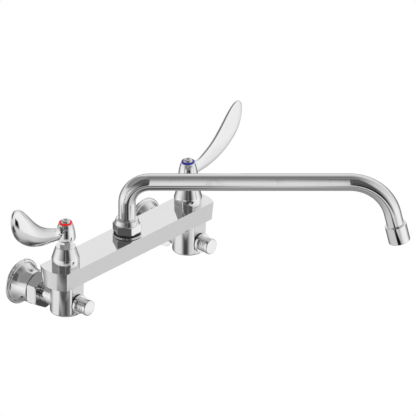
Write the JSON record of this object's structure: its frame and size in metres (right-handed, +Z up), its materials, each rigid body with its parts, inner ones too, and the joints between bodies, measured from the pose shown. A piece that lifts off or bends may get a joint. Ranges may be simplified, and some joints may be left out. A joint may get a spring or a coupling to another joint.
{
  "type": "commercial wall faucet",
  "caption": "Wall faucet with a flat bar body, two wrist blade handles, a long swing spout with an aerator, and a stop valve in each inlet.",
  "frame": {"origin": "on the wall, midway between the two inlet axes", "axes": "+X towards the cold side, +Y into the wall, +Z up; the faucet reaches towards -Y"},
  "size_m": [0.4047, 0.3049, 0.1667],
  "materials": {
    "polished_chrome": "polished chrome plate",
    "handle_chrome": "polished chrome plate",
    "screw_chrome": "chrome plated steel",
    "plain_brass": "machined brass",
    "black_rubber": "matt rubber",
    "fibre_washer": "pressed fibre",
    "white_ceramic": "lapped ceramic",
    "white_plastic": "moulded acetal",
    "grey_plastic": "moulded acetal",
    "index_red": "gloss red",
    "index_blue": "gloss blue"
  },
  "bodies": {
    "root": {"cold_bonnet": "polished_chrome", "cold_cartridge_body": "plain_brass", "cold_cartridge_seals": "black_rubber", "cold_fixed_disc": "white_ceramic", "cold_flange_screws": "screw_chrome", "cold_inlet_shank": "plain_brass", "cold_packing_nut": "polished_chrome", "cold_stop_bonnet": "polished_chrome", "cold_stop_cap": "polished_chrome", "cold_stop_gasket": "black_rubber", "cold_tailpiece": "polished_chrome", "cold_union_nut": "polished_chrome", "cold_union_washer": "fibre_washer", "cold_wall_flange": "polished_chrome", "faucet_body": "polished_chrome", "hot_bonnet": "polished_chrome", "hot_cartridge_body": "plain_brass", "hot_cartridge_seals": "black_rubber", "hot_fixed_disc": "white_ceramic", "hot_flange_screws": "screw_chrome", "hot_inlet_shank": "plain_brass", "hot_packing_nut": "polished_chrome", "hot_stop_bonnet": "polished_chrome", "hot_stop_cap": "polished_chrome", "hot_stop_gasket": "black_rubber", "hot_tailpiece": "polished_chrome", "hot_union_nut": "polished_chrome", "hot_union_washer": "fibre_washer", "hot_wall_flange": "polished_chrome", "spout_base": "polished_chrome", "spout_gasket": "black_rubber", "spout_glides": "white_plastic", "spout_nut": "polished_chrome"},
    "hot_handle_set": {"hot_handle": "handle_chrome", "hot_index_ring": "index_red", "hot_handle_screw": "screw_chrome", "hot_spindle": "plain_brass", "hot_spindle_seals": "black_rubber", "hot_turning_disc": "white_ceramic"},
    "hot_stop_valve": {"hot_stop_poppet": "plain_brass", "hot_stop_seal": "black_rubber"},
    "hot_stop_screw": {"hot_stop_stem": "plain_brass", "hot_stem_seal": "black_rubber"},
    "cold_handle_set": {"cold_handle": "handle_chrome", "cold_index_ring": "index_blue", "cold_handle_screw": "screw_chrome", "cold_spindle": "plain_brass", "cold_spindle_seals": "black_rubber", "cold_turning_disc": "white_ceramic"},
    "cold_stop_valve": {"cold_stop_poppet": "plain_brass", "cold_stop_seal": "black_rubber"},
    "cold_stop_screw": {"cold_stop_stem": "plain_brass", "cold_stem_seal": "black_rubber"},
    "spout": {"spout_tube": "polished_chrome", "spout_swivel": "plain_brass", "swivel_seals": "black_rubber", "aerator_housing": "polished_chrome", "aerator_washer": "black_rubber", "aerator_insert": "grey_plastic"}
  },
  "joints": [
    {"name": "hot_handle_turn", "type": "hinge", "parent": "root", "child": "hot_handle_set", "pos_m": [-0.1016, -0.067, 0.0435], "axis": [0, 0, 1], "range_deg": [0, 90]},
    {"name": "hot_stop_slide", "type": "slide", "parent": "root", "child": "hot_stop_valve", "axis": [0, 1, 0], "range_m": [0, 0.0045]},
    {"name": "hot_stop_turn", "type": "hinge", "parent": "hot_stop_valve", "child": "hot_stop_screw", "pos_m": [-0.1016, -0.067, 0], "axis": [0, 1, 0], "range_deg": [0, 810]},
    {"name": "cold_handle_turn", "type": "hinge", "parent": "root", "child": "cold_handle_set", "pos_m": [0.1016, -0.067, 0.0435], "axis": [0, 0, 1], "range_deg": [-90, 0]},
    {"name": "cold_stop_slide", "type": "slide", "parent": "root", "child": "cold_stop_valve", "axis": [0, 1, 0], "range_m": [0, 0.0045]},
    {"name": "cold_stop_turn", "type": "hinge", "parent": "cold_stop_valve", "child": "cold_stop_screw", "pos_m": [0.1016, -0.067, 0], "axis": [0, 1, 0], "range_deg": [0, 810]},
    {"name": "spout_swing", "type": "hinge", "parent": "root", "child": "spout", "pos_m": [0, -0.067, 0.0435], "axis": [0, 0, 1], "range_deg": [-117, 35]}
  ],
  "couplings": [
    {"joint": "hot_stop_turn", "follows": "hot_stop_slide", "rad_per_m": 3141.6},
    {"joint": "cold_stop_turn", "follows": "cold_stop_slide", "rad_per_m": 3141.6}
  ]
}
